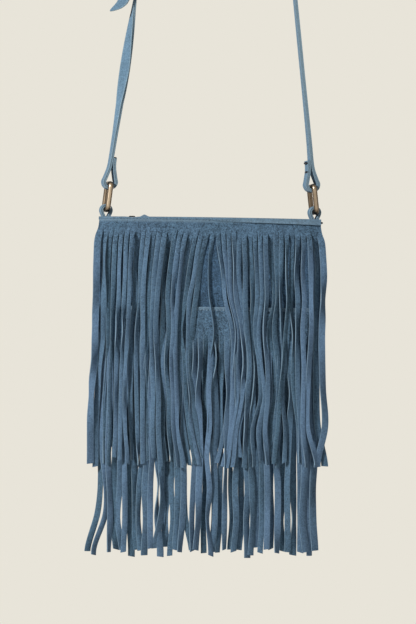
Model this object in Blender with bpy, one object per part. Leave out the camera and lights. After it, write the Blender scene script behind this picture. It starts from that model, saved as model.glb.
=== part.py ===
"""Fringed suede shoulder bag.

A flat zipped pouch carries two tiers of cut fringe on its front. It hangs from two oval metal
links, and a knotted suede strap runs from link to link over whatever holds the bag up.

The model is built round the middle of the pouch's top edge: X to the right, Z up, and the
fringe facing -Y. The whole is then lowered so that the strap's highest inner point is the origin.
"""

import math

import bmesh
import bpy
from mathutils import Vector

# Pouch
POUCH_WIDTH = 0.223
POUCH_HEIGHT = 0.230
POUCH_DEPTH = 0.027
MOUTH_DEPTH = 0.021
WALL = 0.0016
CORNER_RADIUS = 0.014
SECTION_POWER = 6
SEAM_GAP = 0.0003
TOUCH_GAP = 0.0003

# Fringe
STRIP_COUNT = 42
FRINGE_INSET = 0.0025
FRINGE_WIDTH = POUCH_WIDTH - 2 * FRINGE_INSET
SUEDE = 0.0013
LAYER_GAP = 0.0005
SLIT = 0.0003
UPPER_TOP = -0.001
UPPER_HEADER = 0.020
UPPER_LENGTH = 0.243
LOWER_TOP = -0.088
LOWER_HEADER = 0.022
LOWER_LENGTH = 0.245
LENGTH_SPREAD = 0.006
LANE_STEP = 0.0032
FLARE = 0.011
PARTING = 0.009
PARTING_X = 0.005
PARTING_SPREAD = 0.034
SWAY = 0.0009
DRIFT = 0.003
TWIST = math.radians(20)
STRIP_STEPS = 8
BINDING_HEIGHT = 0.0055

# Zip
ZIP_DROP = 0.0045
TAPE = 0.0008
TAPE_INSET = 0.0135
TAPE_LENGTH = POUCH_WIDTH - 2 * TAPE_INSET
TAPE_END = 0.012
CHAIN_LENGTH = TAPE_LENGTH - 2 * TAPE_END
TOOTH_PITCH = 0.0040
TOOTH_REACH = 0.0010
TEETH_BACK = 0.0034
TEETH_ROOT = 0.0017
TEETH_HEIGHT = 0.0019
SLIDER_PARK = 0.0075
SLIDER_X = SLIDER_PARK - CHAIN_LENGTH / 2
SLIDER_LENGTH = 0.0105
SLIDER_WALL = 0.0011
BRIDGE_LENGTH = 0.0072
BRIDGE_WIDTH = 0.0018
BRIDGE_HEIGHT = 0.0036
PULL_WIRE = 0.0013
PULL_LENGTH = 0.0095
PULL_WIDTH = 0.0074
TAG_WIDTH = 0.0042
TAG_LENGTH = 0.0105
TAG_SUEDE = 0.0011
TAG_STEP = 0.001
STOP_LENGTH = 0.0022

# Tabs, links and strap
TAB_INSET = 0.0066
TAB_SPACING = POUCH_WIDTH - 2 * TAB_INSET
TAB_WIDTH = 0.0074
TAB_SUEDE = 0.0030
TAB_HOLE = 0.0034
TAB_LEG = 0.013
BAR_HEIGHT = 0.0086
LINK_WIRE = 0.0048
LINK_PITCH = 0.0262
LINK_INNER_WIDTH = 0.0113
LINK_CORNER = 0.0034
HARDWARE_YAW = math.radians(16.5)
STRAP_LEAN = math.radians(6.7)
STRAP_WIDTH = 0.0105
STRAP_SUEDE = 0.0032
STRAP_HOLE = 0.0045
FOLD_BACK = 0.0270
HANG_RADIUS = 0.032
KNOT_RISE = 0.203
KNOT_TAIL = 0.030

LEFT = -1
RIGHT = 1
UP = Vector((0, 0, 1))
HARDWARE_AXIS = Vector((math.sin(HARDWARE_YAW), -math.cos(HARDWARE_YAW), 0))


# Materials

def finish(name, colour, roughness, metallic=0.0):
    """One Principled surface, made once and then shared."""
    material = bpy.data.materials.get(name)
    if material is None:
        material = bpy.data.materials.new(name)
        material.use_nodes = True
        shader = material.node_tree.nodes["Principled BSDF"]
        shader.inputs["Base Color"].default_value = (*colour, 1)
        shader.inputs["Roughness"].default_value = roughness
        shader.inputs["Metallic"].default_value = metallic
    return material


def suede():
    return finish("blue_suede", (0.085, 0.155, 0.235), 0.95)


def strap_suede():
    return finish("strap_suede", (0.150, 0.255, 0.345), 0.92)


def brass():
    return finish("aged_brass", (0.300, 0.235, 0.165), 0.38, 1.0)


def dark_metal():
    return finish("dark_metal", (0.045, 0.043, 0.040), 0.40, 1.0)


def zip_cloth():
    return finish("zip_cloth", (0.030, 0.045, 0.070), 0.90)


# Objects and their pivots

def pivot(name, position, parent=None):
    """An empty on a joint's axis; position is in the bag's own frame."""
    empty = bpy.data.objects.new(name, None)
    bpy.context.collection.objects.link(empty)
    empty["place"] = tuple(position)
    if parent is None:
        empty.location = position
    else:
        empty.parent = parent
        empty.location = Vector(position) - Vector(parent["place"])
    return empty


def add_object(name, mesh_builder, material, parent, smooth_angle=35):
    """Turn a bmesh in the bag's frame into an object whose origin is its pivot's."""
    bmesh.ops.recalc_face_normals(mesh_builder, faces=mesh_builder.faces)
    bmesh.ops.translate(mesh_builder, verts=mesh_builder.verts, vec=-Vector(parent["place"]))
    mesh = bpy.data.meshes.new(name)
    mesh_builder.to_mesh(mesh)
    mesh_builder.free()
    mesh.materials.append(material)
    mesh.shade_smooth()
    mesh.set_sharp_from_angle(angle=math.radians(smooth_angle))
    obj = bpy.data.objects.new(name, mesh)
    bpy.context.collection.objects.link(obj)
    obj.parent = parent
    return obj


# General shapes

def spline(keys, step, least=3):
    """A smooth curve through keys of (point, side), as points and sides about one step apart."""
    places = [0.0]
    for (a, _), (b, _) in zip(keys, keys[1:]):
        places.append(places[-1] + math.sqrt((b - a).length))
    first = (2 * keys[0][0] - keys[1][0], keys[0][1])
    last = (2 * keys[-1][0] - keys[-2][0], keys[-1][1])
    rail = [first, *keys, last]
    places = [-places[1], *places, 2 * places[-1] - places[-2]]
    result = []
    for i in range(1, len(rail) - 2):
        count = max(least, round((rail[i + 1][0] - rail[i][0]).length / step))
        for k in range(count):
            at = places[i] + (places[i + 1] - places[i]) * k / count
            point = blend_four([key[0] for key in rail[i - 1:i + 3]], places[i - 1:i + 3], at)
            share = k / count
            side = rail[i][1].lerp(rail[i + 1][1], share)
            result.append((point, side))
    result.append(keys[-1])
    return result


def blend_four(points, places, at):
    """A Catmull-Rom span between the second and third of four points."""
    spans = [mix(points[i], points[i + 1], places[i], places[i + 1], at) for i in range(3)]
    pairs = [mix(spans[i], spans[i + 1], places[i], places[i + 2], at) for i in range(2)]
    return mix(pairs[0], pairs[1], places[1], places[2], at)


def mix(a, b, start, end, at):
    share = (at - start) / (end - start)
    return a * (1 - share) + b * share


def band(path, width, thickness, taper=0.0):
    """A flat strap swept along a path of (point, side); taper narrows its last stretch to a tip."""
    shape = bmesh.new()
    rings = []
    travelled = 0.0
    total = sum((b[0] - a[0]).length for a, b in zip(path, path[1:]))
    for i, (point, side) in enumerate(path):
        before = path[max(i - 1, 0)][0]
        after = path[min(i + 1, len(path) - 1)][0]
        tangent = (after - before).normalized()
        across = (side - tangent * side.dot(tangent)).normalized()
        through = tangent.cross(across)
        if i:
            travelled += (point - path[i - 1][0]).length
        left = total - travelled
        half = width / 2
        if left < taper:
            half *= 0.25 + 0.75 * left / taper
        corners = [(half, 1), (-half, 1), (-half, -1), (half, -1)]
        rings.append([
            shape.verts.new(point + across * a + through * (b * thickness / 2)) for a, b in corners
        ])
    join_rings(shape, rings)
    shape.faces.new(rings[0])
    shape.faces.new(rings[-1])
    return shape


def join_rings(shape, rings, closed=False):
    pairs = list(zip(rings, rings[1:]))
    if closed:
        pairs.append((rings[-1], rings[0]))
    for a, b in pairs:
        for k in range(len(a)):
            following = (k + 1) % len(a)
            shape.faces.new((a[k], a[following], b[following], b[k]))


def wire_loop(points, axis, radius, sides):
    """A round wire bent into a closed flat loop; axis is the loop plane's normal."""
    shape = bmesh.new()
    rings = []
    for i, point in enumerate(points):
        tangent = (points[(i + 1) % len(points)] - points[i - 1]).normalized()
        outward = tangent.cross(axis)
        rings.append([
            shape.verts.new(
                point
                + outward * (radius * math.cos(2 * math.pi * k / sides))
                + axis * (radius * math.sin(2 * math.pi * k / sides))
            )
            for k in range(sides)
        ])
    join_rings(shape, rings, closed=True)
    return shape


def rounded_frame(centre, along, across, length, width, corner, arc_steps):
    """Centre-line points of a rectangle with round corners."""
    points = []
    for corner_index, (a, b) in enumerate([(1, 1), (-1, 1), (-1, -1), (1, -1)]):
        middle = along * (a * (length / 2 - corner)) + across * (b * (width / 2 - corner))
        for k in range(arc_steps + 1):
            turn = math.pi / 2 * (corner_index + k / arc_steps)
            points.append(
                centre + middle + along * (corner * math.cos(turn)) + across * (corner * math.sin(turn))
            )
    return points


def closed_shell(outer, inner):
    """A sheet between two grids of points, closed round its rim."""
    shape = bmesh.new()
    grids = [[[shape.verts.new(p) for p in row] for row in grid] for grid in (outer, inner)]
    rows = len(outer)
    columns = len(outer[0])
    for grid in grids:
        for r in range(rows - 1):
            for c in range(columns - 1):
                shape.faces.new((grid[r][c], grid[r][c + 1], grid[r + 1][c + 1], grid[r + 1][c]))
    rim = [(0, c) for c in range(columns)]
    rim += [(r, columns - 1) for r in range(1, rows)]
    rim += [(rows - 1, c) for c in range(columns - 2, -1, -1)]
    rim += [(r, 0) for r in range(rows - 2, 0, -1)]
    for (r, c), (s, d) in zip(rim, rim[1:] + rim[:1]):
        shape.faces.new((grids[0][r][c], grids[0][s][d], grids[1][s][d], grids[1][r][c]))
    return shape


def extruded(outline, vector):
    """A flat outline of points pushed along a vector."""
    shape = bmesh.new()
    face = shape.faces.new([shape.verts.new(p) for p in outline])
    moved = bmesh.ops.extrude_face_region(shape, geom=[face])["geom"]
    bmesh.ops.translate(shape, verts=[v for v in moved if isinstance(v, bmesh.types.BMVert)], vec=vector)
    return shape


# Pouch

def half_depth(drop, inset=0.0):
    """Half the pouch's thickness; drop runs from 0 at the mouth to 1 at the bottom seam."""
    belly = (POUCH_DEPTH - MOUTH_DEPTH) / 2 * math.sin(math.pi * drop)
    return (MOUTH_DEPTH / 2 + belly - inset) * math.sqrt(1 - drop ** 8)


def half_width(drop, inset=0.0):
    into_corner = max(0.0, (drop * POUCH_HEIGHT - (POUCH_HEIGHT - CORNER_RADIUS)) / CORNER_RADIUS)
    return POUCH_WIDTH / 2 - inset - CORNER_RADIUS * (1 - math.sqrt(1 - min(1, into_corner) ** 2))


def section(share):
    """Depth of the pouch's flattened oval section at a share of its half width."""
    return (1 - min(abs(share), 1.0) ** SECTION_POWER) ** (1 / SECTION_POWER)


def pouch_grid(facing, inset, columns=20, rows=12):
    grid = []
    for r in range(rows + 1):
        drop = math.sin(math.pi / 2 * r / rows)
        row = []
        for c in range(columns + 1):
            share = math.sin(math.pi * (c / columns - 0.5))
            x = half_width(drop, inset) * share
            y = facing * (half_depth(drop, inset) * section(share) + SEAM_GAP / 2)
            row.append(Vector((x, y, -drop * (POUCH_HEIGHT - inset))))
        grid.append(row)
    return grid


def pouch_panel(name, facing, parent):
    """One half of the pouch, which meets the other all round its side and bottom seams."""
    shape = closed_shell(pouch_grid(facing, 0.0), pouch_grid(facing, WALL))
    return add_object(name, shape, suede(), parent)


# Fringe

def shuffle(index, salt):
    """A repeatable number between -1 and 1 for each strip."""
    return 2 * ((math.sin(12.9898 * index + 78.233 * salt) * 43758.5453) % 1) - 1


def front_of_pouch(x, z):
    """How far the pouch's front, or what hangs straight down from its belly, stands before y = 0."""
    drop = min(max(-z / POUCH_HEIGHT, 0.0), 0.5)
    widest = FRINGE_WIDTH / POUCH_WIDTH
    share = min(abs(x) / (POUCH_WIDTH / 2), widest)
    return half_depth(drop) * section(share) + SEAM_GAP / 2


def ease(share):
    share = min(max(share, 0.0), 1.0)
    return share * share * (3 - 2 * share)


def strip_pose(index, start, share, top, length, stack, tier):
    """Centre, turn and depth of one strip at a share of its way down."""
    own_length = length + LENGTH_SPREAD * shuffle(index, tier)
    z = top - own_length * share
    flare = FLARE * (start / (FRINGE_WIDTH / 2)) * share
    away = 1 if start > PARTING_X else -1
    opened = math.sin(math.pi * min(1.0, share * 1.6)) if tier == 1 else 0.0
    parting = away * PARTING * opened * math.exp(-abs(start - PARTING_X) / PARTING_SPREAD)
    drift = DRIFT * math.sin(2.6 * share * math.pi + 28 * start + tier) * share
    sway = SWAY * math.sin(math.pi * (2.2 * share + shuffle(index, tier + 3))) * ease(2 * share)
    x = start + flare + parting + drift + sway
    lane = stack + LANE_STEP * (index % 2)
    return x, z, lane, TWIST * shuffle(index, tier + 6) * math.sin(math.pi * 1.3 * share)


def fringe_sheet(name, top, header, length, header_offset, stack, tier, parent):
    """One suede sheet: a plain header, and below it strips cut side by side and left to hang."""
    shape = bmesh.new()
    pitch = FRINGE_WIDTH / STRIP_COUNT
    columns = []
    for i in range(STRIP_COUNT):
        left = -FRINGE_WIDTH / 2 + i * pitch
        columns += [left + SLIT / 2, left + pitch - SLIT / 2]
    header_rows = 3
    levels = [top - header * r / (header_rows - 1) for r in range(header_rows)]
    grids = []
    for offset in (header_offset + SUEDE, header_offset):
        grids.append([
            [shape.verts.new((x, -(front_of_pouch(x, z) + offset), z)) for x in columns] for z in levels
        ])
    outer, inner = grids
    last = header_rows - 1
    for grid in grids:
        for r in range(last):
            for c in range(len(columns) - 1):
                shape.faces.new((grid[r][c], grid[r][c + 1], grid[r + 1][c + 1], grid[r + 1][c]))
    for c in range(len(columns) - 1):
        shape.faces.new((outer[0][c], outer[0][c + 1], inner[0][c + 1], inner[0][c]))
        if c % 2:
            shape.faces.new((outer[last][c], outer[last][c + 1], inner[last][c + 1], inner[last][c]))
    for r in range(last):
        for c in (0, -1):
            shape.faces.new((outer[r][c], outer[r + 1][c], inner[r + 1][c], inner[r][c]))
    for i in range(STRIP_COUNT):
        a = 2 * i
        rings = [[outer[last][a], outer[last][a + 1], inner[last][a + 1], inner[last][a]]]
        start = (columns[a] + columns[a + 1]) / 2
        for k in range(1, STRIP_STEPS + 1):
            share = k / STRIP_STEPS
            x, z, lane, turn = strip_pose(i, start, share, levels[last], length - header, stack, tier)
            settle = ease(share * 5)
            depth = header_offset + (lane - header_offset) * settle + SUEDE / 2
            centre = Vector((x, -(front_of_pouch(x, z) + depth), z))
            across = Vector((math.cos(turn), math.sin(turn), 0)) * ((pitch - SLIT) / 2)
            through = Vector((math.sin(turn), -math.cos(turn), 0)) * (SUEDE / 2)
            rings.append([
                shape.verts.new(centre - across + through),
                shape.verts.new(centre + across + through),
                shape.verts.new(centre + across - through),
                shape.verts.new(centre - across - through),
            ])
        join_rings(shape, rings)
        shape.faces.new(rings[-1])
    return add_object(name, shape, suede(), parent)


def top_binding(parent):
    """The narrow folded strip that covers the upper sheet's stitched edge."""
    offset = LAYER_GAP + SUEDE + TOUCH_GAP
    grids = []
    for layer in (offset + SUEDE, offset):
        grid = []
        for z in (0.0, -BINDING_HEIGHT):
            row = []
            for c in range(25):
                x = FRINGE_WIDTH / 2 * math.sin(math.pi * (c / 24 - 0.5))
                row.append(Vector((x, -(front_of_pouch(x, z) + layer), z)))
            grid.append(row)
        grids.append(grid)
    return add_object("top_binding", closed_shell(*grids), suede(), parent)


# Zip

def zip_tape(name, facing, parent):
    """A woven tape from the pouch's inner face to the middle of the mouth."""
    outline = []
    for c in range(17):
        x = TAPE_LENGTH * (c / 16 - 0.5)
        share = x / (POUCH_WIDTH / 2 - WALL)
        y = half_depth(0, WALL) * section(share) + SEAM_GAP / 2 - TOUCH_GAP
        outline.append(Vector((x, facing * y, -ZIP_DROP - TAPE)))
    for x in (TAPE_LENGTH / 2, -TAPE_LENGTH / 2):
        outline.append(Vector((x, facing * TOUCH_GAP, -ZIP_DROP - TAPE)))
    return add_object(name, extruded(outline, UP * TAPE), zip_cloth(), parent)


def zip_teeth(name, facing, shift, parent):
    """One row of teeth on its cord; the two rows mesh with a fine gap all round."""
    bottom = -ZIP_DROP + TOUCH_GAP
    tooth = TOOTH_PITCH / 2 - TOUCH_GAP
    count = round(CHAIN_LENGTH / TOOTH_PITCH) - 1
    start = -CHAIN_LENGTH / 2
    outline = [Vector((start, facing * TEETH_BACK, bottom)), Vector((start, facing * TEETH_ROOT, bottom))]
    for i in range(count):
        left = start + TOOTH_PITCH * (i + 0.5) + shift
        for x, y in ((left, TEETH_ROOT), (left, -TOOTH_REACH), (left + tooth, -TOOTH_REACH),
                     (left + tooth, TEETH_ROOT)):
            outline.append(Vector((x, facing * y, bottom)))
    end = CHAIN_LENGTH / 2
    outline += [Vector((end, facing * TEETH_ROOT, bottom)), Vector((end, facing * TEETH_BACK, bottom))]
    return add_object(name, extruded(outline, UP * TEETH_HEIGHT), dark_metal(), parent)


def zip_stop(name, side, parent):
    """A metal clip across the chain's end."""
    near = side * (CHAIN_LENGTH / 2 + TOUCH_GAP)
    far = near + side * STOP_LENGTH
    bottom = -ZIP_DROP + TOUCH_GAP
    outline = [Vector((x, y, bottom)) for x, y in
               ((near, -TEETH_BACK), (far, -TEETH_BACK), (far, TEETH_BACK), (near, TEETH_BACK))]
    return add_object(name, extruded(outline, UP * TEETH_HEIGHT), dark_metal(), parent)


def slider_top():
    return -ZIP_DROP + TOUCH_GAP + TEETH_HEIGHT + TOUCH_GAP + SLIDER_WALL


def pull_height():
    """The pull ring's wire runs in the middle of the opening under the slider's bridge."""
    return slider_top() + (BRIDGE_HEIGHT - SLIDER_WALL) / 2


def zip_slider(parent):
    """A plate with side flanges that straddles both rows, and a bridge that holds the pull ring."""
    inner = TEETH_BACK + TOUCH_GAP
    outer = inner + SLIDER_WALL
    top = slider_top()
    under = top - SLIDER_WALL
    foot = -ZIP_DROP + TOUCH_GAP
    left = SLIDER_X - SLIDER_LENGTH / 2
    profile = [(-outer, foot), (-inner, foot), (-inner, under), (inner, under), (inner, foot),
               (outer, foot), (outer, top - SLIDER_WALL / 2), (outer - SLIDER_WALL / 2, top),
               (SLIDER_WALL / 2 - outer, top), (-outer, top - SLIDER_WALL / 2)]
    body = extruded([Vector((left, y, z)) for y, z in profile], Vector((SLIDER_LENGTH, 0, 0)))
    slider = add_object("zip_slider", body, dark_metal(), parent)
    half = BRIDGE_LENGTH / 2
    legs = half - SLIDER_WALL
    high = top + BRIDGE_HEIGHT
    arch = [(-half, top - SLIDER_WALL / 2), (-legs, top - SLIDER_WALL / 2), (-legs, high - SLIDER_WALL),
            (legs, high - SLIDER_WALL), (legs, top - SLIDER_WALL / 2), (half, top - SLIDER_WALL / 2),
            (half, high - SLIDER_WALL), (legs, high), (-legs, high), (-half, high - SLIDER_WALL)]
    outline = [Vector((SLIDER_X + x, -BRIDGE_WIDTH / 2, z)) for x, z in arch]
    bridge = add_object("bridge_cutter", extruded(outline, Vector((0, BRIDGE_WIDTH, 0))), dark_metal(), parent)
    bridge.hide_render = True
    bridge.display_type = "WIRE"
    union = slider.modifiers.new("bridge", "BOOLEAN")
    union.operation = "UNION"
    union.solver = "EXACT"
    union.object = bridge
    return slider


def pull_ring(parent):
    """A small wire ring through the bridge, which carries the suede tag."""
    centre = Vector((SLIDER_X + PULL_LENGTH / 2, 0, pull_height()))
    points = rounded_frame(centre, Vector((1, 0, 0)), Vector((0, 1, 0)), PULL_LENGTH, PULL_WIDTH,
                           PULL_WIRE, 2)
    shape = wire_loop(points, UP, PULL_WIRE / 2, 6)
    return add_object("pull_ring", shape, dark_metal(), parent, 60)


def pull_tag(parent):
    """A suede strip folded through the ring, with both ends lying on each other."""
    bar = Vector((SLIDER_X + PULL_LENGTH, 0, pull_height()))
    reach = PULL_WIRE / 2 + TOUCH_GAP + TAG_SUEDE / 2
    ply = TAG_SUEDE / 2 + TOUCH_GAP / 2
    across = Vector((0, 1, 0))
    shape = [(TAG_LENGTH, -ply), (3.5 * reach, -ply), (reach, -0.8 * reach), (0, -reach), (-reach, 0),
             (0, reach), (reach, 0.8 * reach), (3.5 * reach, ply), (TAG_LENGTH - TAG_STEP, ply)]
    keys = [(bar + Vector((x, 0, z)), across) for x, z in shape]
    return add_object("pull_tag", band(spline(keys, 0.0030, 2), TAG_WIDTH, TAG_SUEDE), suede(), parent)


# Tabs, links and strap

def hardware_across(side):
    """The outward direction in the plane of a tab or strap loop."""
    return Vector((math.cos(HARDWARE_YAW), math.sin(HARDWARE_YAW), 0)) * side


def link_foot(side):
    """Centre of a link's lower bar, in the tab loop."""
    return Vector((side * TAB_SPACING / 2, 0, BAR_HEIGHT))


def lean(side):
    """The strap's direction, upwards and inwards."""
    return Vector((-side * math.sin(STRAP_LEAN), 0, math.cos(STRAP_LEAN)))


def link_head(side):
    """Centre of a link's upper bar, in the strap's end loop."""
    return link_foot(side) + lean(side) * LINK_PITCH


def link(name, side, parent):
    centre = (link_foot(side) + link_head(side)) / 2
    along = lean(side)
    across = (HARDWARE_AXIS - along * HARDWARE_AXIS.dot(along)).normalized()
    width = LINK_INNER_WIDTH + LINK_WIRE
    points = rounded_frame(centre, along, across, LINK_PITCH, width, LINK_CORNER, 4)
    shape = wire_loop(points, along.cross(across), LINK_WIRE / 2, 10)
    return add_object(name, shape, brass(), parent, 60)


def tab_loop(name, side, parent):
    """A suede strip folded round the link's lower bar, with both legs sewn inside the mouth."""
    across = hardware_across(side)
    radius = TAB_HOLE + TAB_SUEDE / 2
    rise = BAR_HEIGHT + LINK_WIRE / 2 + TOUCH_GAP - TAB_HOLE
    ply = TAB_SUEDE / 2 + TOUCH_GAP / 2
    half = [(ply, -TAB_LEG), (ply, -TAB_LEG / 3), (ply + TOUCH_GAP, 0.02 * radius)]
    for degrees in (-25, 0, 30, 60):
        turn = math.radians(degrees)
        half.append((radius * math.cos(turn), rise + radius * math.sin(turn)))
    shape = half + [(0, rise + radius)] + [(-x, z) for x, z in reversed(half)]
    base = Vector((side * TAB_SPACING / 2, 0, 0))
    keys = [(base + across * x + UP * z, HARDWARE_AXIS) for x, z in shape]
    return add_object(name, band(spline(keys, 0.0022, 2), TAB_WIDTH, TAB_SUEDE), strap_suede(), parent)


def strap_ply():
    return STRAP_SUEDE / 2 + TOUCH_GAP / 2


def strap_end(side):
    """Keys of the strap's end: folded back on the inside, round the link's bar and up again."""
    origin = link_head(side)
    up = lean(side)
    out = hardware_across(side)
    out = (out - up * out.dot(up)).normalized()
    radius = STRAP_HOLE + STRAP_SUEDE / 2
    rise = STRAP_HOLE - LINK_WIRE / 2 - TOUCH_GAP
    ply = strap_ply()
    arm = [(ply, 0.80 * FOLD_BACK), (1.35 * ply, 0.60 * FOLD_BACK)]
    for degrees in (32, 0, -45):
        turn = math.radians(degrees)
        arm.append((radius * math.cos(turn), rise + radius * math.sin(turn)))
    shape = [(-ply, FOLD_BACK)] + [(-x, z) for x, z in arm] + [(0, rise - radius)] + arm[::-1]
    return [(origin + out * x + up * z, HARDWARE_AXIS) for x, z in shape]


def rolled(degrees):
    """The band's width direction, turned from edge-on towards face-on."""
    turn = math.radians(degrees)
    return Vector((math.sin(turn), -math.cos(turn), 0))


def strap_run(side, distance):
    """A point of the strap's straight run, this far above the link's upper bar."""
    out = Vector((side * math.cos(STRAP_LEAN), 0, math.sin(STRAP_LEAN)))
    return link_head(side) + lean(side) * distance + out * strap_ply()


def hang_centre():
    """Centre of the round rest that the strap lies over."""
    head = link_head(RIGHT)
    reach = head.x * math.cos(STRAP_LEAN) + head.z * math.sin(STRAP_LEAN) + strap_ply()
    return Vector((0, 0, (reach - HANG_RADIUS) / math.sin(STRAP_LEAN)))


def run_length():
    """Length of the straight run from the link's bar to the round rest."""
    top = hang_centre().z + HANG_RADIUS * math.sin(STRAP_LEAN)
    return (top - strap_run(RIGHT, 0).z) / math.cos(STRAP_LEAN)


def short_strap(parent):
    """The left strap: up from its link, turned face-on halfway, through the knot to a short tail."""
    keys = strap_end(LEFT)
    for share, degrees in ((0.25, 20), (0.40, 32), (0.58, 80), (0.72, 45), (0.86, 14)):
        keys.append((strap_run(LEFT, KNOT_RISE * share), rolled(degrees)))
    for distance in (KNOT_RISE - STRAP_WIDTH, KNOT_RISE + STRAP_WIDTH):
        keys.append((strap_run(LEFT, distance), rolled(0)))
    tail = strap_run(LEFT, KNOT_RISE + KNOT_TAIL) + Vector((-0.25, 0.15, 0)) * KNOT_TAIL
    keys.append((tail, rolled(15)))
    return add_object("short_strap", band(spline(keys, 0.012), STRAP_WIDTH, STRAP_SUEDE),
                      strap_suede(), parent)


def knot_turns():
    """Keys of the long strap's turn round the short one, and of the tail that leaves it."""
    centre = strap_run(LEFT, KNOT_RISE)
    up = lean(LEFT)
    front = Vector((0, -1, 0))
    out = front.cross(up)
    core = math.hypot(STRAP_WIDTH, STRAP_SUEDE) / 2
    radius = core + 3 * TOUCH_GAP + STRAP_SUEDE / 2
    drop = STRAP_WIDTH + 2 * TOUCH_GAP
    keys = []
    for degrees, height, upright in ((-84, 2.4, 0), (-82, 1.45, 0), (-68, 0.92, 1)):
        turn = math.radians(degrees)
        around = out * math.cos(turn) - front * math.sin(turn)
        place = front * math.cos(turn) + out * math.sin(turn)
        keys.append((centre + place * (radius * 1.04) + up * (drop * height), around + up * upright))
    for degrees in range(-35, 386, 30):
        turn = math.radians(degrees)
        height = 0.62 - (degrees + 35) / 360
        place = front * math.cos(turn) + out * math.sin(turn)
        keys.append((centre + place * radius + up * (drop * height), up))
    for sideways, height, depth in ((1.15, -1.25, 1.15), (1.75, -2.0, 1.0), (2.9, -2.45, 0.8)):
        keys.append((centre + out * (radius * sideways) + up * (drop * height)
                     + front * (radius * depth), (up * 0.8 + out * 0.6 - out * 0.2 * sideways)))
    return keys


def long_strap(parent):
    """The right strap: up from its link, over the rest, down to the knot and round the short strap."""
    keys = strap_end(RIGHT)
    run = run_length()
    for distance, degrees in ((0.045, 22), (0.110, 12), (0.40 * run, 6), (0.75 * run, 3), (0.97 * run, 0)):
        keys.append((strap_run(RIGHT, distance), rolled(degrees)))
    middle = hang_centre()
    for k in range(7):
        turn = STRAP_LEAN + (math.pi - 2 * STRAP_LEAN) * k / 6
        keys.append((middle + Vector((math.cos(turn), 0, math.sin(turn))) * HANG_RADIUS, rolled(0)))
    for share in (0.92, 0.62):
        keys.append((strap_run(LEFT, run * share), rolled(0)))
    keys += knot_turns()
    return add_object("long_strap", band(spline(keys, 0.016), STRAP_WIDTH, STRAP_SUEDE, taper=0.012),
                      strap_suede(), parent)


# The whole bag

def build_bag():
    drop = hang_centre().z + HANG_RADIUS - STRAP_SUEDE / 2
    frame = pivot("hang_point", (0, 0, 0))
    frame.location = (0, 0, -drop)
    left_swing = pivot("left_link_axis", link_head(LEFT), frame)
    right_swing = pivot("right_link_axis", link_head(RIGHT), frame)
    bag = pivot("bag_axis", link_foot(LEFT), left_swing)
    zip_start = pivot("zip_start", (SLIDER_X, 0, slider_top()), bag)
    pull_axis = pivot("pull_axis", (SLIDER_X, 0, pull_height()), zip_start)

    pouch_panel("front_panel", -1, bag)
    pouch_panel("back_panel", 1, bag)
    lanes = LAYER_GAP + LANE_STEP / 4
    fringe_sheet("lower_fringe", LOWER_TOP, LOWER_HEADER, LOWER_LENGTH, LAYER_GAP, lanes, 0, bag)
    fringe_sheet("upper_fringe", UPPER_TOP, UPPER_HEADER, UPPER_LENGTH, LAYER_GAP,
                 lanes + 2 * LANE_STEP, 1, bag)
    top_binding(bag)

    zip_tape("zip_tape_front", -1, bag)
    zip_tape("zip_tape_back", 1, bag)
    zip_teeth("zip_teeth_front", -1, 0.0, bag)
    zip_teeth("zip_teeth_back", 1, TOOTH_PITCH / 2, bag)
    zip_stop("zip_top_stop", LEFT, bag)
    zip_stop("zip_bottom_stop", RIGHT, bag)
    zip_slider(zip_start)
    pull_ring(pull_axis)
    pull_tag(pull_axis)

    tab_loop("left_tab", LEFT, bag)
    tab_loop("right_tab", RIGHT, bag)
    link("left_link", LEFT, left_swing)
    link("right_link", RIGHT, right_swing)
    short_strap(frame)
    long_strap(frame)


for thing in list(bpy.data.objects):
    bpy.data.objects.remove(thing, do_unlink=True)
build_bag()
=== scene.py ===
# %% [markdown]
# # A fringed suede shoulder bag
# The bag is a flat zipped pouch of blue suede. Two sheets of the same suede hang down its front,
# each cut into strips below a plain header. Two oval metal links join the pouch to a knotted
# strap of paler suede.
#
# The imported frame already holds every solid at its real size. This script dresses it: first the
# picture's camera and light, then the finishes, then one piece after another.

# %% The frame and the tools
import math
import random

import bmesh
import bpy
from mathutils import Matrix, Vector


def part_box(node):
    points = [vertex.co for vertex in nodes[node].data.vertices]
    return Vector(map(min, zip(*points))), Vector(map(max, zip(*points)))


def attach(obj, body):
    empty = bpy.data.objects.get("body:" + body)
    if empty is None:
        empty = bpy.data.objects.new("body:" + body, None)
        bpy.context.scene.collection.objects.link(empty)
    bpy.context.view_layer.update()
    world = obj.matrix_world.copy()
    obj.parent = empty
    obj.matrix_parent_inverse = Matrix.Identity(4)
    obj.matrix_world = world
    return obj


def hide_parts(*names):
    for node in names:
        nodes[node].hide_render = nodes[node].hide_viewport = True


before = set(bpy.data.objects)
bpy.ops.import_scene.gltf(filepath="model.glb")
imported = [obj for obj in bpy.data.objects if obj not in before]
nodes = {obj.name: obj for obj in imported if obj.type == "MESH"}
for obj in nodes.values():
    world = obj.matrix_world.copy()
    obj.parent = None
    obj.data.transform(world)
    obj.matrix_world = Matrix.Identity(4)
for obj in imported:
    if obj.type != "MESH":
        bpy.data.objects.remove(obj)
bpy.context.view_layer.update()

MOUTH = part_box("front_panel")[1].z
SCENE = bpy.context.scene
UP = Vector((0, 0, 1))
LEFT = -1
RIGHT = 1
print("frame:", len(nodes), "solids; the pouch's mouth is at", round(MOUTH, 4))

# %% [markdown]
# ## Where things are
# The bag hangs from its strap, and the frame's origin is where the strap lies over its rest. It
# is easier to think from the middle of the pouch's top edge, so every size below is written from
# there, and one function brings a point into the frame.

# %% Places on the bag
def bag_point(x, y, z):
    """A point given from the middle of the pouch's top edge."""
    return Vector((x, y, MOUTH + z))


print("pouch's top edge:", bag_point(0, 0, 0))

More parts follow.
